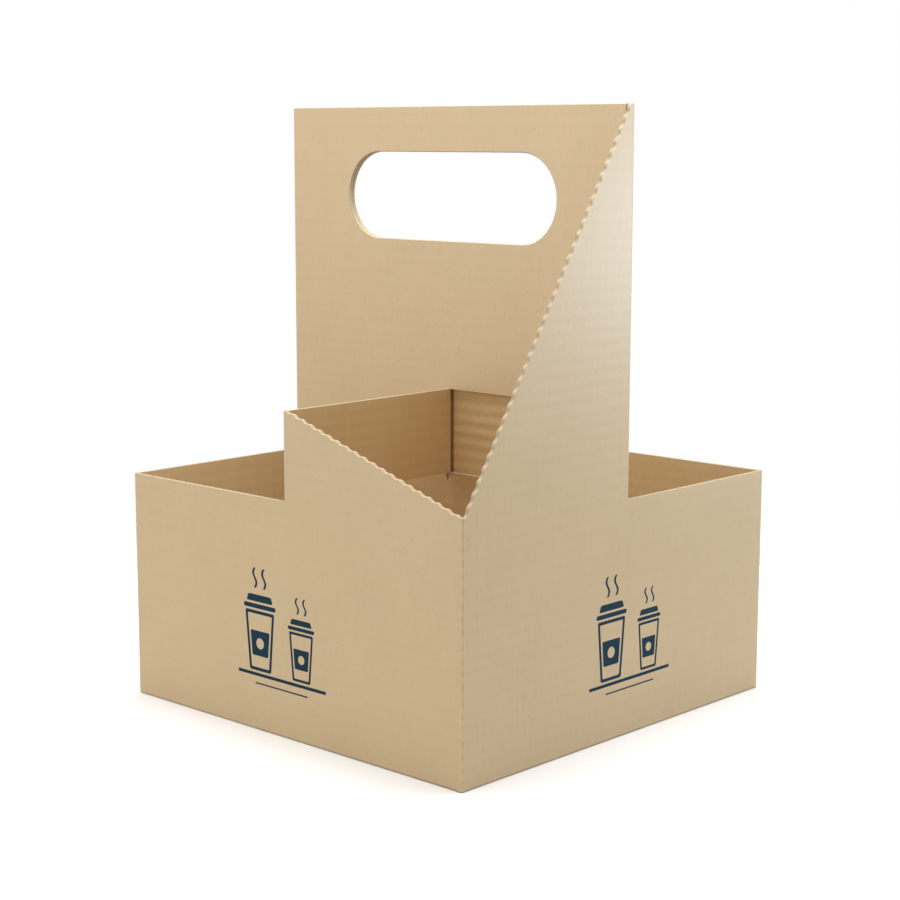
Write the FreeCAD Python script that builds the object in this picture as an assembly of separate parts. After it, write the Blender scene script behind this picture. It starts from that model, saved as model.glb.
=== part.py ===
import FreeCAD, Part
import math
import os

# Cup carrier with two deep and two open pockets round a tall handle, folded and glued from one sheet of
# corrugated board. Sizes are in millimetres. +X runs along the front wall and the handle, +Y goes away
# from the front wall and +Z is up. The origin is the middle of the base, on the surface it stands on.
# The rear half is the front half turned half a turn about +Z.

# Outside of the folded carrier
width = 184.0
depth = 184.0
handle_top = 242.0

# Board and its folds. The score line crushes the board, so a fold is sharper outside than a bent board.
board = 1.6
fold_inside = 0.3
fold_outside = 1.0

# Heights of the cut edges
low_rim = 93.2
strap_top = 127.9
corner_rim = 99.2

# Straps that cross the pockets from the handle to the front and rear walls. Seen from its own side, each
# stands this far to the right of the middle. Their folds meet there back to back, and they touch as long
# as fold_outside is less than this shift and half the board.
strap_shift = 0.4

# Relief notch at the lower end of each strap's fold
notch_width = 2.8
notch_height = 3.5

# Hand hole, a slot with round ends through both handle layers
hole_length = 114.0
hole_height = 35.7
hole_top_margin = 18.3

# Wave-cut edges that are kind to the hands
wave_pitch = 5.0
wave_rise = 0.3

# Where a handle layer stops short of the end wall that the other layer folds out of
layer_end_gap = 1.0

# Cut edges of the handle layers, eased where the layers meet and where a hand goes round them
seam_ease = 0.25
grip_ease = 0.35

# Base flaps: long ones from the front and rear walls meet in the middle, short ones from the end walls
# rise onto them. Their sides are mitred at the corners of the base.
base_seam = 1.0
mitre = 15.0
mitre_gap = 0.4
short_flap = 48.0
corner_foot = 0.4

# Sizes that follow from the ones above
half_width = width / 2
half_depth = depth / 2
fold_reach = board + max(fold_inside, fold_outside - board)
wall_x = half_width - board / 2
wall_y = half_depth - board / 2
layer_end = half_width - board - layer_end_gap
clear = 5.0


def vec(x, y, z=0.0):
    return FreeCAD.Vector(x, y, z)


def rounded_wire(points, radii):
    """Closed wire through the points, with each corner rounded to its own radius."""
    count = len(points)
    starts = []
    ends = []
    middles = []
    for i in range(count):
        corner = points[i]
        back = (points[i - 1] - corner).normalize()
        on = (points[(i + 1) % count] - corner).normalize()
        half_angle = back.getAngle(on) / 2
        reach = radii[i] / math.tan(half_angle)
        starts.append(corner + back * reach)
        ends.append(corner + on * reach)
        if radii[i] > 0:
            to_arc = radii[i] / math.sin(half_angle) - radii[i]
            middles.append(corner + (back + on).normalize() * to_arc)
        else:
            middles.append(corner)
    edges = []
    for i in range(count):
        if radii[i] > 0:
            edges.append(Part.Arc(starts[i], middles[i], ends[i]).toShape())
        following = starts[(i + 1) % count]
        if ends[i].distanceToPoint(following) > 1e-6:
            edges.append(Part.LineSegment(ends[i], following).toShape())
    return Part.Wire(edges)


def left_of(direction):
    return vec(-direction.y, direction.x)


def offset_corner(before, corner, after, shift):
    """The corner of a path moved sideways, to the left of travel for a positive shift."""
    n1 = left_of((corner - before).normalize())
    n2 = left_of((after - corner).normalize())
    return corner + (n1 + n2) * (shift / (1 + n1.dot(n2)))


def fold_radius(before, corner, after, side):
    """Radius of the board's face at a fold: small inside the bend and one board larger outside it."""
    turn = (corner - before).cross(after - corner).z
    return fold_inside if turn * side > 0 else fold_outside


def closed_board(path):
    """Section of board that follows a closed path of its middle line."""
    sides = []
    count = len(path)
    for side in (1, -1):
        points = []
        radii = []
        for i in range(count):
            before = path[i - 1]
            after = path[(i + 1) % count]
            points.append(offset_corner(before, path[i], after, side * board / 2))
            radii.append(fold_radius(before, path[i], after, side))
        sides.append(Part.Face(rounded_wire(points, radii)))
    inner, outer = sorted(sides, key=lambda face: face.Area)
    return outer.cut(inner)


def open_board(path):
    """Section of board that follows an open path of its middle line, with square ends."""
    points = []
    radii = []
    for side in (1, -1):
        steps = range(len(path)) if side == 1 else reversed(range(len(path)))
        for i in steps:
            if i in (0, len(path) - 1):
                near = path[1] if i == 0 else path[-2]
                along = (near - path[0]) if i == 0 else (path[-1] - near)
                points.append(path[i] + left_of(along.normalize()) * (side * board / 2))
                radii.append(0.0)
            else:
                points.append(offset_corner(path[i - 1], path[i], path[i + 1], side * board / 2))
                radii.append(fold_radius(path[i - 1], path[i], path[i + 1], side))
    return Part.Face(rounded_wire(points, radii))


def raised(section, bottom, top):
    """Plan section turned into walls between two heights."""
    walls = section.extrude(vec(0, 0, top - bottom))
    walls.translate(vec(0, 0, bottom))
    return walls


def turned(shape):
    """The same form on the other side of the carrier."""
    copy = shape.copy()
    copy.rotate(vec(0, 0, 0), vec(0, 0, 1), 180)
    return copy


def wave_edges(start, end):
    """Wave-cut line from start to end: equal arcs, by turns above and below the straight line."""
    span = end - start
    waves = round(span.Length / wave_pitch)
    half_wave = span / (2 * waves)
    across = left_of(half_wave).normalize() * wave_rise
    edges = []
    for i in range(2 * waves):
        a = start + half_wave * i
        b = start + half_wave * (i + 1)
        crest = (a + b) * 0.5 + (across if i % 2 else -across)
        edges.append(Part.Arc(a, crest, b).toShape())
    return edges


def above_wave(start, end):
    """Region above a wave-cut edge, drawn in the wall's own plane, x along the wall and y up."""
    roof = handle_top + clear
    edges = wave_edges(start, end)
    corners = [end, vec(end.x, roof), vec(start.x, roof), start]
    for a, b in zip(corners, corners[1:]):
        edges.append(Part.LineSegment(a, b).toShape())
    return Part.Face(Part.Wire(edges))


def front_wave_cutter():
    """Takes away what stands above the wave-cut edge of the front wall, from the strap to the corner."""
    start = vec(strap_shift - board / 2 + fold_reach, strap_top)
    end = vec(half_width - fold_reach, corner_rim)
    face = above_wave(start, end)
    face.rotate(vec(0, 0, 0), vec(1, 0, 0), 90)
    face.translate(vec(0, -half_depth - clear, 0))
    return face.extrude(vec(0, clear + fold_reach, 0))


def end_wave_cutter():
    """Takes away what stands above the wave-cut edge of the end wall, from the corner to the handle."""
    start = vec(-half_depth + fold_reach, corner_rim)
    end = vec(board - fold_reach, handle_top)
    face = above_wave(start, end)
    face.rotate(vec(0, 0, 0), vec(1, 0, 0), 90)
    face.rotate(vec(0, 0, 0), vec(0, 0, 1), 90)
    face.translate(vec(half_width - fold_reach, 0, 0))
    return face.extrude(vec(clear + fold_reach, 0, 0))


def corner_cutter():
    """Takes away what stands above the corner between the two wave-cut edges."""
    cutter = Part.makeBox(fold_reach + clear, fold_reach + clear, handle_top + clear - corner_rim)
    cutter.translate(vec(half_width - fold_reach, -half_depth - clear, corner_rim))
    return cutter


def slot(length, height, middle, thickness):
    """Slot with round ends, through the handle."""
    up = height / 2
    along = length / 2 - up
    edges = [
        Part.LineSegment(vec(-along, -up), vec(along, -up)).toShape(),
        Part.Arc(vec(along, -up), vec(along + up, 0), vec(along, up)).toShape(),
        Part.LineSegment(vec(along, up), vec(-along, up)).toShape(),
        Part.Arc(vec(-along, up), vec(-along - up, 0), vec(-along, -up)).toShape()]
    face = Part.Face(Part.Wire(edges))
    face.rotate(vec(0, 0, 0), vec(1, 0, 0), 90)
    face.translate(vec(0, thickness / 2, middle))
    return face.extrude(vec(0, -thickness, 0))


def low_walls():
    """The four walls up to the low rim: one ring of board with four folded corners. It ends where the
    base flaps bend away, and only the corners reach further down."""
    corners = [vec(wall_x, -wall_y), vec(wall_x, wall_y), vec(-wall_x, wall_y), vec(-wall_x, -wall_y)]
    ring = closed_board(corners)
    walls = raised(ring, fold_reach, low_rim)
    feet = raised(ring, corner_foot, fold_reach)
    along = Part.makeBox(width - 2 * fold_reach, depth, fold_reach)
    along.translate(vec(-half_width + fold_reach, -half_depth, 0))
    across = Part.makeBox(width, depth - 2 * fold_reach, fold_reach)
    across.translate(vec(-half_width, -half_depth + fold_reach, 0))
    return walls.fuse(feet.cut([along, across]))


def flap_outline(half_length, half_reach, flap):
    """Plan of a base flap that hangs on a wall at -Y, mitred where its neighbours fold in."""
    root = half_length - fold_reach
    knee = -half_reach + fold_reach - mitre_gap
    shoulder = half_length - mitre - mitre_gap
    points = [
        vec(-root, -half_reach - clear), vec(root, -half_reach - clear), vec(root, knee),
        vec(shoulder, -half_reach + mitre), vec(shoulder, -half_reach + flap),
        vec(-shoulder, -half_reach + flap), vec(-shoulder, -half_reach + mitre), vec(-root, knee)]
    return Part.Face(Part.makePolygon(points + points[:1]))


def flap_board(path, half_length):
    """Board of a base flap that hangs on a wall at -Y, from its middle line across the wall."""
    section = open_board(path)
    section.rotate(vec(0, 0, 0), vec(1, 0, 0), 90)
    section.rotate(vec(0, 0, 0), vec(0, 0, 1), 90)
    section.translate(vec(-half_length, 0, 0))
    return section.extrude(vec(2 * half_length, 0, 0))


def long_flap():
    """Base flap of the front wall, flat on the ground."""
    path = [vec(-wall_y, fold_reach), vec(-wall_y, board / 2), vec(-base_seam / 2, board / 2)]
    outline = flap_outline(half_width, half_depth, half_depth)
    return flap_board(path, half_width).common(outline.extrude(vec(0, 0, fold_reach)))


def short_flap_of_end_wall():
    """Base flap of the end wall, which rises by one board onto the long flaps and is glued there."""
    rise_start = -half_width + fold_reach + board
    rise_end = -half_width + mitre - board
    path = [
        vec(-wall_x, fold_reach), vec(-wall_x, board / 2), vec(rise_start, board / 2),
        vec(rise_end, 1.5 * board), vec(-half_width + short_flap, 1.5 * board)]
    outline = flap_outline(half_depth, half_width, short_flap)
    flap = flap_board(path, half_depth).common(outline.extrude(vec(0, 0, 2 * fold_reach)))
    flap.rotate(vec(0, 0, 0), vec(0, 0, 1), 90)
    return flap


def strap_band():
    """Half of the board between the low rim and the strap top. Two corners of the ring are pushed in to
    the handle, so it runs round a deep pocket and makes its strap and its part of both handle layers."""
    side = board / 2
    path = [
        vec(-half_width / 2, -side), vec(strap_shift, -side), vec(strap_shift, -wall_y),
        vec(wall_x, -wall_y), vec(wall_x, side), vec(half_width / 2, side)]
    return raised(open_board(path), low_rim, strap_top)


def edges_in_plane(shape, y, lowest):
    """Edges that lie in the plane of a handle face and reach no lower than a given height."""
    near = 1e-4
    found = []
    for edge in shape.Edges:
        box = edge.BoundBox
        if abs(box.YMin - y) < near and abs(box.YMax - y) < near and box.ZMin > lowest - near:
            found.append(edge)
    return found


def handle_layer():
    """One handle layer above the strap, with the end wall's tall corner that it folds out of."""
    path = [vec(wall_x, -half_depth + fold_reach), vec(wall_x, board / 2), vec(-layer_end, board / 2)]
    layer = raised(open_board(path), strap_top, handle_top)
    hole_bottom = handle_top - hole_top_margin - hole_height
    hole = slot(hole_length, hole_height, hole_bottom + hole_height / 2, 4 * board)
    layer = layer.cut([hole, end_wave_cutter()])
    layer = layer.makeFillet(grip_ease, edges_in_plane(layer, board, hole_bottom))
    return layer.makeChamfer(seam_ease, edges_in_plane(layer, 0.0, hole_bottom))


def central_wall():
    """Both handle layers below the low rim, down to the base."""
    wall = Part.makeBox(width - 2 * board, 2 * board, low_rim - board)
    wall.translate(vec(-half_width + board, -board, board))
    notch = Part.Face(Part.makePolygon([
        vec(-notch_width / 2, 0, low_rim), vec(notch_width / 2, 0, low_rim),
        vec(0, 0, low_rim - notch_height), vec(-notch_width / 2, 0, low_rim)]))
    notch.translate(vec(0, -2 * board, 0))
    return wall.cut(notch.extrude(vec(0, 4 * board, 0)))


half = [strap_band(), handle_layer(), long_flap(), short_flap_of_end_wall()]
carrier = low_walls().fuse([central_wall()] + half + [turned(shape) for shape in half])
cutters = [front_wave_cutter(), end_wave_cutter(), corner_cutter()]
carrier = carrier.cut(cutters + [turned(cutter) for cutter in cutters])
carrier = carrier.removeSplitter()

os.makedirs("parts", exist_ok=True)
carrier.exportStep("parts/carrier.step")
print("solids", len(carrier.Solids), "valid", carrier.isValid(), "volume mm3", round(carrier.Volume))
print("faces", len(carrier.Faces), "box", carrier.optimalBoundingBox())
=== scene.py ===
import math

import bmesh
import bpy
from mathutils import Matrix, Vector, noise
from mathutils.geometry import delaunay_2d_cdt


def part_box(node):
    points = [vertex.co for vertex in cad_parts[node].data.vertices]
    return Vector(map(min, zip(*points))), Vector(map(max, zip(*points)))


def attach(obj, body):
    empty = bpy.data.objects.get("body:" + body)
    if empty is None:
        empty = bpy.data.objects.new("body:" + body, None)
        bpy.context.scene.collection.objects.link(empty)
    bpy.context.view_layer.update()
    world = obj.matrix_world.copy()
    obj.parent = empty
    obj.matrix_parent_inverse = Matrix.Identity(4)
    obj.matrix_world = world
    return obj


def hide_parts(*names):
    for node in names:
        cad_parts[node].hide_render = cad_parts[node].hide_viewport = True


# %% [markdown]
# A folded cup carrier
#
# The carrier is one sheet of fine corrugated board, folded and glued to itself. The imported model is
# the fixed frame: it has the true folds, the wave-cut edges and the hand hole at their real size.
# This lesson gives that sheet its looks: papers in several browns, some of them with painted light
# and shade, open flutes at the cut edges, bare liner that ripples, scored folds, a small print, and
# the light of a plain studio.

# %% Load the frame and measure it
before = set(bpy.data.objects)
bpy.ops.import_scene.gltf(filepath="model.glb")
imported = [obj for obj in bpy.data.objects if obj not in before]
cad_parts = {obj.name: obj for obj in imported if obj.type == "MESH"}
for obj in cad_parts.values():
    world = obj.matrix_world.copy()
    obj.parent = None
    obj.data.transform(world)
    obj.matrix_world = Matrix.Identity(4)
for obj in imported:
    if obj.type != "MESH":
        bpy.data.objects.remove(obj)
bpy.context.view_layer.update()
low_corner, high_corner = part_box("carrier")
HALF_WIDTH = high_corner.x
HANDLE_TOP = high_corner.z
print("carrier measures", [round(1000 * size, 1) for size in high_corner - low_corner], "mm")

# %% [markdown]
# The board
#
# The sheet is 1.6 mm thick. Two outer papers, the liners, hold a wavy middle paper, the medium. The
# flutes of the medium lie level, all round the carrier, and one wave measures 5 mm. The frame has the
# board as a solid of full thickness, so the sizes below are enough to tell its parts from each other.
# The plan is square, and one half width serves both ways.

# %% Sizes of the board
BOARD = 0.0016
FLUTE_PITCH = 0.005
LOW_RIM = 0.0932
WINDOW_TOP = 0.1279
LAYER_END = 0.0894
STRAP_SHIFT = 0.0004
BASE_ZONE = 0.004
FOLD_INSIDE = 0.0003
NEAR = 0.00002
INNER_FACE = HALF_WIDTH - BOARD
print("inner faces of the walls are", round(1000 * INNER_FACE, 1), "mm from the middle")

# %% [markdown]
# One mesh, several papers
#
# A real sheet has a light liner on one side and a browner one on the other. Separate pieces for the
# walls would show seams, so the whole sheet stays one mesh and each face gets its paper by a number.
# The frame's mesh is loose triangles. A copy of it is merged, and its flats are joined into large
# faces, so that each face can be told by where it lies. A face that lies within the thickness of the
# sheet is a cut edge. The other faces are paper, and the side of the sheet they are on says which:
# the ring of board goes round the carrier with its light liner always on the same side. The brown
# side has several tones, which are painted light and shade: it is painted lighter inside the open
# walls and painted darker low in the middle.

# %% Name the papers
PAPERS = ("light_liner", "brown_liner", "cut_edge", "scored_fold_worn_and_painted_light", "washboard_liner", "printed_ink",
          "centre_liner_painted_shade", "wall_inside_painted_light")
LIGHT, BROWN, CUT, FOLD, WASHBOARD, INK, CENTRE, INSIDE = range(len(PAPERS))

# %% Tell the paper of a face
# Parts of a unit normal, past which a face is on a bend, looks sideways or is tilted.
ON_BEND = 0.02
SIDEWAYS = 0.1
TILTED = 0.03


def in_outer_wall(place):
    """Whether a place lies in the thickness of one of the four outer walls."""
    return max(abs(place.x), abs(place.y)) > INNER_FACE - NEAR


def paper_of_upright(centre, normal):
    """The paper of a face that stands upright, by its place and the way it faces."""
    outward = normal.x * centre.x + normal.y * centre.y > 0
    if in_outer_wall(centre) and outward:
        return FOLD if min(abs(normal.x), abs(normal.y)) > ON_BEND else LIGHT
    # Inside an outer wall the brown is painted lighter: painted light.
    if in_outer_wall(centre):
        return INSIDE
    on_strap = abs(centre.x) < BOARD and (abs(normal.x) > SIDEWAYS or abs(centre.y) > 2 * BOARD)
    if on_strap:
        return LIGHT if centre.y * normal.x > 0 else BROWN
    if abs(normal.x) > SIDEWAYS:
        return CUT if abs(centre.x) < INNER_FACE - FOLD_INSIDE - NEAR else BROWN
    if abs(centre.y) < BOARD / 2:
        return WASHBOARD
    # Below the low rim the middle wall's brown is painted darker: painted shade.
    return LIGHT if centre.z > LOW_RIM else CENTRE


def paper_of(face):
    """The paper that a face of the merged sheet shows, or a cut edge."""
    centre = face.calc_center_median_weighted()
    normal = face.normal
    if centre.z > BASE_ZONE:
        return CUT if abs(normal.z) > TILTED else paper_of_upright(centre, normal)
    if in_outer_wall(centre) or normal.z < -0.5:
        return LIGHT
    return BROWN if normal.z > 0.5 else CUT


# %% Copy and merge the sheet
SAME_PLACE = 1e-6
SAME_PLANE = math.radians(0.4)

sheet = bmesh.new()
sheet.from_mesh(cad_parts["carrier"].data)
bmesh.ops.remove_doubles(sheet, verts=sheet.verts, dist=SAME_PLACE)
bmesh.ops.dissolve_limit(sheet, angle_limit=SAME_PLANE, verts=sheet.verts, edges=sheet.edges)
print("faces after merging", len(sheet.faces))

# %% Part the handle at the low rim and sort the faces
FRONT_OR_REAR = 0.99


def cut_faces(faces, place, normal):
    """Cuts faces of the sheet along a plane."""
    corners = {v for f in faces for v in f.verts}
    edges = {e for f in faces for e in f.edges}
    bmesh.ops.bisect_plane(sheet, geom=[*faces, *corners, *edges], plane_co=place, plane_no=normal)


def on_handle(face):
    """Whether a face is an outer face of the handle."""
    return abs(face.normal.y) > FRONT_OR_REAR and abs(abs(face.verts[0].co.y) - BOARD) < NEAR


cut_faces([f for f in sheet.faces if on_handle(f)], (0, 0, LOW_RIM), (0, 0, 1))
for face in sheet.faces:
    face.material_index = paper_of(face)
print("faces after sorting", len(sheet.faces))

# %% [markdown]
# Layers pushed into the corner
#
# Each layer of the handle ends 1 mm short of the end wall that it points at, so that it can't catch
# there when the sheet is folded. Glued up, it is pushed towards the corner. Only the corners of the
# layer's end move, along its own flat, and a narrow gap is left.

# %% Push the layers' ends out
PUSH = 0.0006

layer_ends = [v for v in sheet.verts if LAYER_END - PUSH < abs(v.co.x) < LAYER_END + NEAR
              and abs(v.co.y) < BOARD + NEAR and v.co.z > WINDOW_TOP - NEAR]
for corner in layer_ends:
    corner.co.x += math.copysign(PUSH, corner.co.x)
print("corners moved at the layers' ends", len(layer_ends))

# %% [markdown]
# Ripples in the windows
#
# Beside each strap one layer of the handle is cut away, and the bare inner liner of the other layer
# shows. It has been pulled onto its flutes and ripples with them. Relief in a material serves for
# faint bands. These are deep enough to show at a slant, so they are real: the flat face is cut into a
# fine grid, and its points move by a wave that wanders a little and dies out at the borders.

# %% Cut the bare liner into a grid
LEVEL_STEP = 0.0005
COLUMN_STEP = 0.004
LEFT_END = STRAP_SHIFT
RIGHT_END = INNER_FACE - FOLD_INSIDE
LEFT_COLUMNS = (0.0005, 0.001, 0.0015)
RIGHT_COLUMNS = (0.0017, 0.0012, 0.0007)
DEAD_FLAT = 0.9999


def bare_liner_faces():
    """Flat faces of the bare liner in the two windows."""
    return [f for f in sheet.faces if f.material_index == WASHBOARD and abs(f.normal.y) > DEAD_FLAT]


level_count = int((WINDOW_TOP - LOW_RIM) / LEVEL_STEP)
levels = [LOW_RIM + LEVEL_STEP * step for step in range(1, level_count + 1)] + [WINDOW_TOP]
column_count = int(RIGHT_END / COLUMN_STEP) - 1
columns = [LEFT_END + offset for offset in LEFT_COLUMNS]
columns += [COLUMN_STEP * step for step in range(1, column_count + 1)]
columns += [RIGHT_END - offset for offset in RIGHT_COLUMNS]
for level in levels:
    cut_faces(bare_liner_faces(), (0, 0, level), (0, 0, 1))
for column in columns:
    for side in (-1, 1):
        cut_faces(bare_liner_faces(), (side * column, 0, 0), (1, 0, 0))
print("grid of", len(levels), "levels and", len(columns), "columns on each side")

# %% Move the grid by a wandering wave
RIPPLE_DEPTH = 0.00022
RIGHT_MARGIN = 0.0004
FADE_WIDTH = 0.0015
WANDER = 1.6
MEAN_STRENGTH = 0.75
STRENGTH_SPREAD = 0.8


def ripple_depth(place):
    """How far the bare liner lies behind its flat at a place in a window."""
    across, height = abs(place.x), place.z
    border = min(across - LEFT_END, RIGHT_END - RIGHT_MARGIN - across, height - LOW_RIM, WINDOW_TOP - height)
    fade = min(max(border / FADE_WIDTH, 0.0), 1.0)
    wander = WANDER * noise.noise(Vector((across * 30, place.x, height * 25)))
    patches = noise.noise(Vector((across * 45, place.x * 9, height * 90)))
    strength = MEAN_STRENGTH + STRENGTH_SPREAD * patches
    wave = math.sin(math.tau * height / FLUTE_PITCH + wander)
    return RIPPLE_DEPTH * 0.5 * fade * strength * (1 + wave)


for corner in {v for f in bare_liner_faces() for v in f.verts}:
    corner.co.y = -math.copysign(ripple_depth(corner.co), corner.co.x)
sheet.normal_update()
# The bare liner in the narrow gaps at the layers' ends, above the windows, gets the lighter liner: painted
# light that lifts the shade in the gaps.
for face in sheet.faces:
    if face.material_index == WASHBOARD and face.calc_center_median().z > WINDOW_TOP:
        face.material_index = LIGHT
print("faces of the bare liner", len([f for f in sheet.faces if f.material_index == WASHBOARD]))

# %% [markdown]
# A small print
#
# The walls carry a plain picture of two lidded cups on a shelf, in one dark ink. Ink has no thickness
# to speak of, so the picture isn't a decal above the board: its outlines are cut into the flat wall
# face, and the pieces inside them get the ink. Where one outline lies in another, ink and paper take
# turns, which makes hollow shapes without holes.

# %% Draw one cup in millimetres
DOT_RADIUS = 2.2
STRAND_HALF = 0.6


def softened(corners, radius, steps=3):
    """An outline with its corners rounded off by short curves."""
    outline = []
    for index, corner in enumerate(corners):
        corner, before, after = (Vector(corners[(index + step) % len(corners)]) for step in (0, -1, 1))
        start = corner + (before - corner).normalized() * radius
        end = corner + (after - corner).normalized() * radius
        for step in range(steps + 1):
            t = step / steps
            outline.append(start * (1 - t) ** 2 + corner * 2 * t * (1 - t) + end * t ** 2)
    return outline


def upright_bar(low, high, low_half, high_half, radius):
    """A bar with soft corners, as wide at its foot and its top as their half widths say."""
    corners = [(-low_half, low), (low_half, low), (high_half, high), (-high_half, high)]
    return softened(corners, radius)


def steam_strand(side):
    """A wavy strand of steam above the lid."""
    rise = [(side + 0.9 * math.sin(math.tau * n / 10), 33 + 0.8 * n) for n in range(11)]
    strand = [(u - STRAND_HALF, v) for u, v in reversed(rise)] + [(u + STRAND_HALF, v) for u, v in rise]
    return [Vector(point) for point in strand]


def cup_picture(middle, foot, size):
    """Outlines of a cup with a lid, a sleeve and steam; at size 1 the cup is 30 mm high."""
    cup, hollow = upright_bar(0, 24, 6.2, 8.4, 1.0), upright_bar(1.3, 22.7, 5.0, 7.0, 0.5)
    sleeve = upright_bar(6, 16, 4.6, 5.5, 0.6)
    lid_rim, lid_top = upright_bar(24.9, 26.7, 9.2, 9.2, 0.8), upright_bar(27.6, 30.4, 7.6, 6.6, 0.9)
    turns = [math.tau * n / 20 for n in range(20)]
    dot = [Vector((DOT_RADIUS * math.cos(turn), 11 + DOT_RADIUS * math.sin(turn))) for turn in turns]
    outlines = [cup, hollow, sleeve, lid_rim, lid_top, dot, steam_strand(-2.6), steam_strand(2.6)]
    return [[Vector((middle, foot)) + point * size for point in outline] for outline in outlines]


# %% Put two cups on a shelf
SHELF = 22.0

picture = cup_picture(-12.0, SHELF + 2, 1.0) + cup_picture(11.5, SHELF + 2, 0.8)
for low, high, half in ((SHELF - 0.2, SHELF + 1.1, 25.0), (SHELF - 3.4, SHELF - 2.8, 15.0)):
    picture.append([Vector(corner) for corner in ((-half, low), (half, low), (half, high), (-half, high))])
print("outlines in the picture", len(picture))

# %% Cut the picture into a wall
SAME_WAY = 0.999
TRIANGLES_INSIDE = 1
SAME_POINT = 1e-5


def print_on_wall(angle, shift):
    """Cuts the picture into the wall that the front wall becomes when it is turned by angle."""
    turn = Matrix.Rotation(math.radians(angle), 3, "Z")
    outward, along = turn @ Vector((0, -1, 0)), turn @ Vector((1, 0, 0))
    walls = [f for f in sheet.faces
             if f.normal.dot(outward) > SAME_WAY and f.verts[0].co.dot(outward) > HALF_WIDTH - NEAR]
    wall = max(walls, key=lambda f: f.calc_area())
    rim = list(wall.verts)
    spots = [Vector((v.co.dot(along), v.co.z)) * 1000 for v in rim]
    loops = [list(range(len(rim)))]
    for outline in picture:
        loops.append(list(range(len(spots), len(spots) + len(outline))))
        spots += [Vector((point.x + shift, point.y)) for point in outline]
    found = delaunay_2d_cdt(spots, [], loops, TRIANGLES_INSIDE, SAME_POINT)
    corners = []
    for spot, source in zip(found[0], found[3]):
        known = [index for index in source if index < len(rim)]
        place = outward * HALF_WIDTH + (along * spot.x + Vector((0, 0, spot.y))) / 1000
        corners.append(rim[known[0]] if known else sheet.verts.new(place))
    sheet.faces.remove(wall)
    for shape, owners in zip(found[2], found[5]):
        part = sheet.faces.new([corners[index] for index in shape])
        part.material_index = INK if sum(1 for owner in owners if owner > 0) % 2 else LIGHT
    return sum(1 for f in sheet.faces if f.material_index == INK)


for angle, shift in ((0, -3.0), (90, 4.0), (180, -3.0), (270, 4.0)):
    print("wall", angle, "ink faces so far", print_on_wall(angle, shift))

# %% [markdown]
# Open flutes
#
# A cut edge of corrugated board shows three papers: two liners and the wavy medium between them. The
# flutes lie level, so an upright or slanting cut shows waves and a level rim shows a line. Grooves cut
# into the mesh would be finer than its narrow rims can hold, so the paper of the cut edge draws the
# flutes. Each corner of a cut edge notes how deep it lies in the board, from 0 at the light liner to 1
# at the brown one, and the paper works from that and from the height.

# %% Note the depth in the board


def depth_in_board(place, in_middle):
    """How deep a place lies in the sheet it is part of, in thicknesses of the board."""
    from_wall = HALF_WIDTH - max(abs(place.x), abs(place.y))
    if in_middle or (abs(place.y) <= BOARD + NEAR and from_wall > BOARD + NEAR):
        return abs(place.y) / BOARD
    if from_wall <= BOARD + NEAR:
        return from_wall / BOARD
    return (BOARD / 2 - STRAP_SHIFT + (place.x if place.y < 0 else -place.x)) / BOARD


board_depth = sheet.loops.layers.float.new("board_depth")
cut_edges = [f for f in sheet.faces if f.material_index == CUT]
for face in cut_edges:
    in_middle = all(abs(v.co.y) < BOARD + NEAR for v in face.verts)
    for loop in face.loops:
        loop[board_depth] = min(max(depth_in_board(loop.vert.co, in_middle), 0.0), 1.0)
print("faces of the cut edges", len(cut_edges))

# %% [markdown]
# Paper finishes
#
# Kraft liner is matt. Its colour drifts in soft clouds, fine fibres run through it, and the flutes
# behind it show as faint level bands. A photograph of paper would repeat and blur close up, so all of
# that is noise and waves over Object coordinates, which stays at its real scale.

# %% Helpers for shader trees


def new_tree(name):
    """A material, its shader tree and the Principled BSDF that the tree ends in."""
    material = bpy.data.materials.new(name)
    material.use_nodes = True
    tree = material.node_tree
    return material, tree, tree.nodes["Principled BSDF"]


def object_place(tree):
    """Object coordinates, whole and in their three parts."""
    place = tree.nodes.new("ShaderNodeTexCoord").outputs["Object"]
    parts = tree.nodes.new("ShaderNodeSeparateXYZ")
    tree.links.new(place, parts.inputs[0])
    return place, parts.outputs


def feed(tree, socket, value):
    """Link a socket to another one, or set its constant."""
    if isinstance(value, bpy.types.NodeSocket):
        tree.links.new(value, socket)
    else:
        socket.default_value = value


def math_of(tree, operation, first, second=0.0, third=0.0):
    """The result of a Math node, from numbers or other nodes' sockets."""
    node = tree.nodes.new("ShaderNodeMath")
    node.operation = operation
    for socket, value in zip(node.inputs, (first, second, third)):
        feed(tree, socket, value)
    return node.outputs[0]


def sum_of(tree, *values):
    """The sum of several values."""
    total = values[0]
    for value in values[1:]:
        total = math_of(tree, "ADD", total, value)
    return total


def swing(tree, value, amount):
    """A value from 0 to 1 turned into one from -amount / 2 to amount / 2."""
    return math_of(tree, "MULTIPLY", math_of(tree, "SUBTRACT", value, 0.5), amount)


def ramp_of(tree, value, low, high, start=0.0, end=1.0, soft=False):
    """A value that goes from start to end while the given one goes from low to high."""
    node = tree.nodes.new("ShaderNodeMapRange")
    node.interpolation_type = "SMOOTHSTEP" if soft else "LINEAR"
    tree.links.new(value, node.inputs["Value"])
    for socket, limit in (("From Min", low), ("From Max", high), ("To Min", start), ("To Max", end)):
        node.inputs[socket].default_value = limit
    return node.outputs[0]


# %% Helpers for noise, colour and relief


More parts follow.
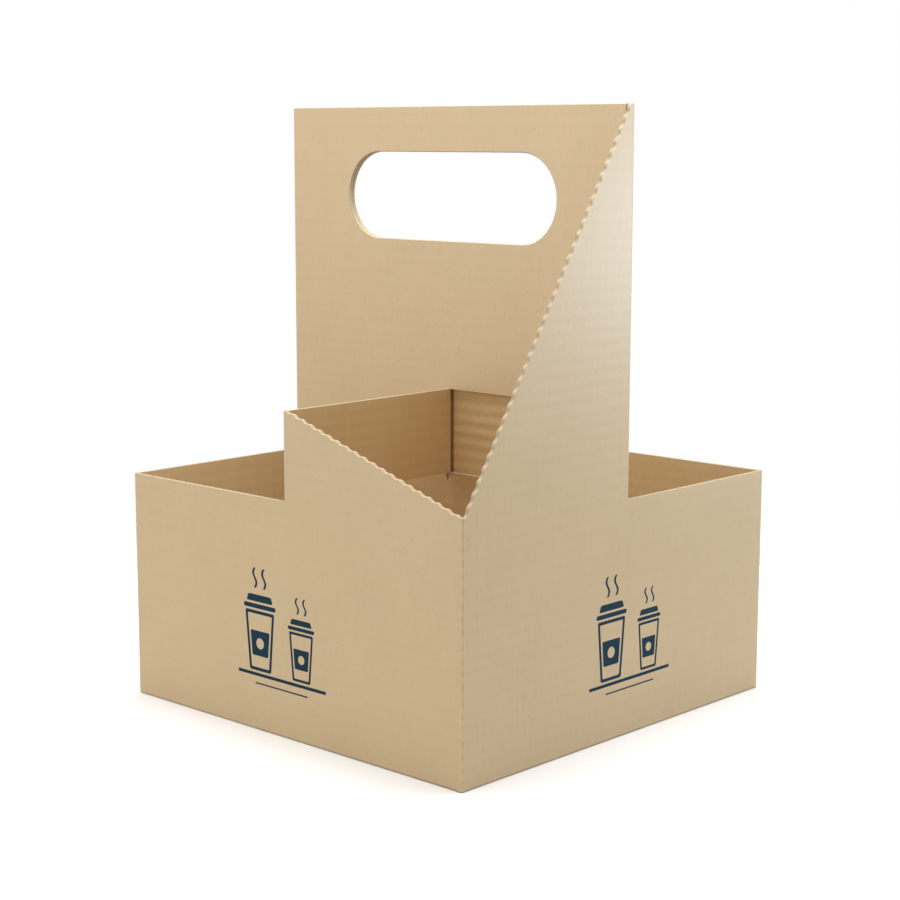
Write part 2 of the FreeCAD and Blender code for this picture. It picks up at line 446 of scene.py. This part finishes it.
def noise_of(tree, coordinates, frequency, detail=2.0, roughness=0.5):
    """Noise with a pattern size of about 1 / frequency metres; three frequencies stretch it."""
    node = tree.nodes.new("ShaderNodeTexNoise")
    if not isinstance(frequency, (int, float)):
        mapping = tree.nodes.new("ShaderNodeMapping")
        mapping.inputs["Scale"].default_value = frequency
        tree.links.new(coordinates, mapping.inputs["Vector"])
        coordinates = mapping.outputs[0]
        frequency = 1.0
    tree.links.new(coordinates, node.inputs["Vector"])
    node.inputs["Scale"].default_value = frequency
    node.inputs["Detail"].default_value = detail
    node.inputs["Roughness"].default_value = roughness
    return node.outputs["Fac"]


def mix_colours(tree, factor, first, second):
    """The first colour where the factor is 0 and the second where it is 1."""
    node = tree.nodes.new("ShaderNodeMix")
    node.data_type = "RGBA"
    feed(tree, node.inputs["Factor"], factor)
    feed(tree, node.inputs["A"], first)
    feed(tree, node.inputs["B"], second)
    return node.outputs["Result"]


def bump_of(tree, height, depth, below=None):
    """Relief of a given depth in metres, on top of the relief below it."""
    node = tree.nodes.new("ShaderNodeBump")
    node.inputs["Strength"].default_value = 1.0
    node.inputs["Distance"].default_value = depth
    tree.links.new(height, node.inputs["Height"])
    if below is not None:
        tree.links.new(below, node.inputs["Normal"])
    return node.outputs[0]


# %% The kraft paper function
CLOUDS = 22
FIBRES = (500, 500, 90)
FINE_LINES = (30, 900, 6)
SPECKS = 900
FLUTE_WANDER = 30
FLUTE_PATCHES = (45, 45, 120)
FIBRE_DEPTH = 0.00002
FLECKS_FROM, FLECKS_FULL = 0.70, 0.76
FLECK_SHARE = 0.25
FLECK_SHADE = 0.45


def flute_bands(tree, place, height, uneven):
    """Level bands behind the paper, from 0 to 1; uneven bends them and makes some stronger."""
    wander = math_of(tree, "MULTIPLY", noise_of(tree, place, FLUTE_WANDER), 1.0 + 2.0 * uneven)
    phase = math_of(tree, "ADD", math_of(tree, "MULTIPLY", height, math.tau / FLUTE_PITCH), wander)
    wave = math_of(tree, "MULTIPLY_ADD", math_of(tree, "SINE", phase), 0.5, 0.5)
    patches = swing(tree, noise_of(tree, place, FLUTE_PATCHES, detail=3.0), 4.0 * uneven)
    return math_of(tree, "MULTIPLY", wave, math_of(tree, "ADD", patches, 1.0))


def kraft_paper(name, colour, drift=0.10, fibre=0.10, flutes=0.02, flute_depth=0.00001, uneven=0.0,
                streaks=0.0, roughness=0.8, specular=0.3):
    """Brown paper. drift, fibre, flutes and streaks say how much each of them changes the brightness;
    uneven makes the flutes stronger in some places than in others."""
    material, tree, shader = new_tree(name)
    place, parts = object_place(tree)
    bands = flute_bands(tree, place, parts["Z"], uneven)
    clouds = noise_of(tree, place, CLOUDS, detail=4.0, roughness=0.6)
    fibres = noise_of(tree, place, FIBRES, detail=5.0, roughness=0.7)
    fine_lines = noise_of(tree, place, FINE_LINES)
    bright = sum_of(tree, swing(tree, clouds, drift), swing(tree, fibres, fibre),
                    swing(tree, bands, flutes), swing(tree, fine_lines, streaks), 1.0)
    tone = tree.nodes.new("ShaderNodeVectorMath")
    tone.operation = "SCALE"
    tone.inputs[0].default_value = colour
    tree.links.new(bright, tone.inputs["Scale"])
    specks = noise_of(tree, place, SPECKS, detail=1.0)
    flecks = ramp_of(tree, specks, FLECKS_FROM, FLECKS_FULL, end=FLECK_SHARE)
    fleck_colour = tuple(FLECK_SHADE * part for part in colour) + (1.0,)
    feed(tree, shader.inputs["Base Color"], mix_colours(tree, flecks, tone.outputs[0], fleck_colour))
    relief = bump_of(tree, fibres, FIBRE_DEPTH, bump_of(tree, bands, flute_depth))
    feed(tree, shader.inputs["Normal"], relief)
    shader.inputs["Roughness"].default_value = roughness
    shader.inputs["Specular IOR Level"].default_value = specular
    return material


# %% [markdown]
# Flutes in the cut edge
#
# The medium is a wave between the two liners. What is neither liner nor medium is a hollow. Seen from
# a step away it isn't black. Its shade is painted: the hollow is a slightly darker paper, and its
# relief puts it a little below the rest. A formula draws it, which compares the noted depth with the
# places of the liners and of the wave.

# %% Draw the hollows
MEDIUM_SWING = 0.30
MEDIUM_HALF = 0.06
LINER = 0.12
HOLLOW_BORDER = 0.05
HOLLOW_DEPTH = 0.00005


def open_flutes(material, hollow):
    """Adds the hollows between the liners and the medium to a paper, by painted shade and relief."""
    tree = material.node_tree
    shader = tree.nodes["Principled BSDF"]
    noted = tree.nodes.new("ShaderNodeAttribute")
    noted.attribute_name = "board_depth"
    height = object_place(tree)[1]["Z"]
    wave = math_of(tree, "SINE", math_of(tree, "MULTIPLY", height, math.tau / FLUTE_PITCH))
    medium = math_of(tree, "MULTIPLY", wave, MEDIUM_SWING)
    from_middle = math_of(tree, "SUBTRACT", noted.outputs["Fac"], 0.5)
    from_medium = math_of(tree, "ABSOLUTE", math_of(tree, "SUBTRACT", from_middle, medium))
    from_face = math_of(tree, "SUBTRACT", math_of(tree, "ABSOLUTE", from_middle), 0.5)
    beside_medium = math_of(tree, "SUBTRACT", from_medium, MEDIUM_HALF)
    beside_liner = math_of(tree, "SUBTRACT", math_of(tree, "ABSOLUTE", from_face), LINER)
    gap = math_of(tree, "MINIMUM", beside_medium, beside_liner)
    hole = ramp_of(tree, gap, 0.0, HOLLOW_BORDER)
    paper = shader.inputs["Base Color"].links[0].from_socket
    feed(tree, shader.inputs["Base Color"], mix_colours(tree, hole, paper, hollow))
    relief = shader.inputs["Normal"].links[0].from_socket
    solid = math_of(tree, "SUBTRACT", 1.0, hole)
    feed(tree, shader.inputs["Normal"], bump_of(tree, solid, HOLLOW_DEPTH, relief))


# %% [markdown]
# Painted shade in the crease where the strap meets the centre
#
# Above the low rim the strap folds out of the handle, and little light gets into the corner of that
# fold. The lamps alone leave it too light. A thin dark strip would be one more piece with borders of
# its own, so the papers that meet there turn darker by their distance from the fold.

# %% Paint shade into the crease
STRAP_FACE = STRAP_SHIFT + BOARD / 2
CREASE_CORE = 0.0003
CREASE_REACH = 0.0015
CREASE_SHADE_STRENGTH = 0.7
CREASE_SHADE_COLOUR = (0.12, 0.06, 0.02, 1)


def paint_crease_shade(material):
    """Paints shade into a paper close to the upright lines where the straps fold into the centre."""
    tree = material.node_tree
    shader = tree.nodes["Principled BSDF"]
    parts = object_place(tree)[1]
    beside = math_of(tree, "SUBTRACT", math_of(tree, "ABSOLUTE", parts["X"]), STRAP_FACE)
    squares = [math_of(tree, "POWER", length, 2.0) for length in (beside, parts["Y"])]
    away = math_of(tree, "SQRT", sum_of(tree, *squares))
    near = ramp_of(tree, away, CREASE_CORE, CREASE_REACH, CREASE_SHADE_STRENGTH, 0.0, soft=True)
    above = math_of(tree, "GREATER_THAN", parts["Z"], LOW_RIM)
    paper = shader.inputs["Base Color"].links[0].from_socket
    painted_shade_amount = math_of(tree, "MULTIPLY", near, above)
    feed(tree, shader.inputs["Base Color"], mix_colours(tree, painted_shade_amount, paper, CREASE_SHADE_COLOUR))


# %% [markdown]
# Eight papers
#
# The light liner is the smoothest paper and has a slight sheen and fine streaks. A scored fold is
# paler, partly because its paper is stretched and partly as painted light that lifts the shade the
# lamps leave on the bend, and it shows the flutes as low bumps. One brown would do for the other side
# of a real sheet, where light that goes to and fro between the walls makes its tones. Here those tones
# are painted light and shade, set one by one against the photograph.

# %% Mix the papers
KRAFT_BROWN = (0.60, 0.42, 0.215)
# Painted shade for the hollows of the open flutes.
HOLLOW_SHADE_COLOUR = (0.43, 0.345, 0.225, 1)

light_liner = kraft_paper("light_liner", (0.622, 0.466, 0.272), flutes=0.012, streaks=0.05,
                          roughness=0.35, specular=0.5)
brown_liner = kraft_paper("brown_liner", KRAFT_BROWN, drift=0.16, flutes=0.04, flute_depth=0.00002)
# The same brown, painted lighter inside the outer walls: painted light.
wall_inside_painted_light = kraft_paper("wall_inside_painted_light", (0.61, 0.465, 0.265), drift=0.16, flutes=0.04,
                          flute_depth=0.00002)
# The same brown, painted darker low in the middle: painted shade.
centre_liner_painted_shade = kraft_paper("centre_liner_painted_shade", (0.46, 0.305, 0.15), drift=0.16, flutes=0.04,
                           flute_depth=0.00002)
cut_edge = kraft_paper("cut_edge", (0.47, 0.385, 0.26))
# Paler on the scored fold: stretched paper, and painted light that lifts the shade of the bend.
scored_fold_worn_and_painted_light = kraft_paper("scored_fold_worn_and_painted_light", (0.69, 0.525, 0.31), drift=0.3, flutes=0.08,
                          flute_depth=0.0001, uneven=0.6, roughness=0.6)
washboard_liner = kraft_paper("washboard_liner", KRAFT_BROWN, flutes=0.08, uneven=0.35)
printed_ink = kraft_paper("printed_ink", (0.003, 0.032, 0.060), drift=0.2, fibre=0.3,
                          roughness=0.7, specular=0.2)
# Painted shade near the strap's folds, on both papers that meet there.
paint_crease_shade(brown_liner)
paint_crease_shade(washboard_liner)
open_flutes(cut_edge, HOLLOW_SHADE_COLOUR)
print("papers mixed", len(PAPERS))

# %% [markdown]
# Curved parts shade smoothly
#
# Bends, rounded corners and wave-cut edges are curves on the real board. In the frame they are made of
# narrow faces, which would show as stripes of light. Small faces that meet a neighbour at a slight
# angle are parts of a curve and shade smoothly. The large flats stay flat, because smooth shading would
# bend the light on them.

# %% Smooth the curves
SHARP = math.radians(32)
SLIGHT = math.radians(1)
SMALL_FACE = 0.0002

for edge in sheet.edges:
    edge.smooth = len(edge.link_faces) == 2 and edge.calc_face_angle(0.0) < SHARP
for face in sheet.faces:
    bends = [e for e in face.edges if e.smooth and e.calc_face_angle(0.0) > SLIGHT]
    face.smooth = bool(bends) and face.calc_area() < SMALL_FACE
print("smooth faces", sum(1 for f in sheet.faces if f.smooth))

# %% Lay the papers on the sheet
carrier_mesh = bpy.data.meshes.new("carrier_board")
sheet.to_mesh(carrier_mesh)
sheet.free()
for material in (light_liner, brown_liner, cut_edge, scored_fold_worn_and_painted_light, washboard_liner, printed_ink,
                 centre_liner_painted_shade, wall_inside_painted_light):
    carrier_mesh.materials.append(material)
carrier_board = bpy.data.objects.new("carrier_board", carrier_mesh)
bpy.context.scene.collection.objects.link(carrier_board)
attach(carrier_board, "root")
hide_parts("carrier")
print("faces of the carrier", len(carrier_mesh.polygons))

# %% [markdown]
# Studio floor
#
# The floor is a pale disc that fades out into the white backdrop, so that no horizon shows. Paper
# above a white floor would be lit too strongly from below, so the floor looks pale to the camera and
# is a mid grey to all other rays.

# %% Floor
FLOOR_RADIUS = 0.9
FADE_FROM = 0.18
FADE_TO = 0.5
SEEN_FLOOR = (0.93, 0.93, 0.92, 1)
BOUNCE_FLOOR = (0.55, 0.54, 0.52, 1)

bpy.ops.mesh.primitive_circle_add(vertices=96, radius=FLOOR_RADIUS, fill_type="NGON")
floor = bpy.context.object
floor.name = "studio_floor"
floor_paint, floor_tree, floor_shader = new_tree("pale_floor")
seen = floor_tree.nodes.new("ShaderNodeLightPath").outputs["Is Camera Ray"]
feed(floor_tree, floor_shader.inputs["Base Color"], mix_colours(floor_tree, seen, BOUNCE_FLOOR, SEEN_FLOOR))
floor_shader.inputs["Roughness"].default_value = 0.9
reach = floor_tree.nodes.new("ShaderNodeVectorMath")
reach.operation = "LENGTH"
floor_tree.links.new(object_place(floor_tree)[0], reach.inputs[0])
clear_air = floor_tree.nodes.new("ShaderNodeBsdfTransparent")
blend = floor_tree.nodes.new("ShaderNodeMixShader")
feed(floor_tree, blend.inputs[0], ramp_of(floor_tree, reach.outputs["Value"], FADE_FROM, FADE_TO, soft=True))
floor_tree.links.new(floor_shader.outputs[0], blend.inputs[1])
floor_tree.links.new(clear_air.outputs[0], blend.inputs[2])
floor_tree.links.new(blend.outputs[0], floor_tree.nodes["Material Output"].inputs["Surface"])
floor.data.materials.append(floor_paint)
print("floor radius", FLOOR_RADIUS, "m")

# %% [markdown]
# Studio light
#
# The carrier stands in a white studio, where light comes from all sides. The white world does most of
# that work and is plain white to the camera. Five soft lights shape the board: a large one above it, a
# low one in front on the left for the front wall, one behind on the right that skims the end wall from
# above, and two low cool ones, far out, whose reflections give the walls a pale sheen.

# %% White backdrop
FILL = 0.50

scene = bpy.context.scene
scene.view_settings.view_transform = "Standard"
world = bpy.data.worlds.new("white_studio")
scene.world = world
world.use_nodes = True
sky = world.node_tree
backdrop = sky.nodes["Background"]
backdrop.inputs["Color"].default_value = (1, 1, 1, 1)
to_camera = sky.nodes.new("ShaderNodeLightPath").outputs["Is Camera Ray"]
feed(sky, backdrop.inputs["Strength"], math_of(sky, "MULTIPLY_ADD", to_camera, 1.0 - FILL, FILL))
print("fill from the backdrop", FILL)

# %% Soft lights
WARM = (1.0, 0.97, 0.92)
COOL = (0.78, 0.90, 1.0)


def direction_of(azimuth, elevation):
    """Unit vector from the carrier towards a place; azimuth 0 is in front, at -Y, and 90 is at +X."""
    a, e = math.radians(azimuth), math.radians(elevation)
    return Vector((math.sin(a) * math.cos(e), -math.cos(a) * math.cos(e), math.sin(e)))


def softbox(name, azimuth, elevation, distance, size, power, colour=(1, 1, 1)):
    """A square area light that faces the middle of the carrier and that the camera doesn't see."""
    light = bpy.data.lights.new(name, "AREA")
    light.shape = "SQUARE"
    light.size = size
    light.energy = power
    light.color = colour
    lamp = bpy.data.objects.new(name, light)
    towards = direction_of(azimuth, elevation)
    lamp.location = Vector((0, 0, HANDLE_TOP / 2)) + towards * distance
    lamp.rotation_euler = towards.to_track_quat("Z", "Y").to_euler()
    lamp.visible_camera = False
    scene.collection.objects.link(lamp)


softbox("top_softbox", 0, 90, 0.5, 0.5, 5.0)
softbox("low_front_softbox", -20, 8, 0.55, 0.4, 0.72, WARM)
softbox("right_softbox", 125, 50, 0.5, 0.3, 0.45)
softbox("low_right_softbox", 146, 2, 1.1, 0.2, 3.9, COOL)
softbox("low_left_softbox", -45, 5, 1.1, 0.28, 0.24, COOL)
print("soft lights", len(bpy.data.lights))

# %% [markdown]
# Camera
#
# The photograph looks at the near corner from a little above the ground. Its place, its lens and its
# slight roll were worked out from the corners of the carrier, whose sizes are known in the frame, so
# that the outlines of the render and of the photograph match.

# %% Camera at the photograph's angle
AZIMUTH, ELEVATION, ROLL = 43.09, 9.21, 0.08
DISTANCE = 0.7932
AIM_HEIGHT, AIM_RIGHT, AIM_UP = 0.1, -0.00008, 0.00223
FRAME_PIXELS = 900
FOCAL_PIXELS = 1921.7
SENSOR_MM = 36.0

back = direction_of(AZIMUTH, ELEVATION)
level_right = (-back).cross(Vector((0, 0, 1))).normalized()
level_up = level_right.cross(-back)
roll = math.radians(ROLL)
right = level_right * math.cos(roll) + level_up * math.sin(roll)
up = level_up * math.cos(roll) - level_right * math.sin(roll)
aim = Vector((0, 0, AIM_HEIGHT)) + right * AIM_RIGHT + up * AIM_UP
lens = bpy.data.cameras.new("photo_camera")
lens.sensor_width = SENSOR_MM
lens.lens = SENSOR_MM * FOCAL_PIXELS / FRAME_PIXELS
camera = bpy.data.objects.new("photo_camera", lens)
camera_turn = Matrix((right, up, back)).transposed().to_4x4()
camera.matrix_world = Matrix.Translation(aim + back * DISTANCE) @ camera_turn
scene.collection.objects.link(camera)
scene.camera = camera
print("lens", round(lens.lens, 1), "mm")
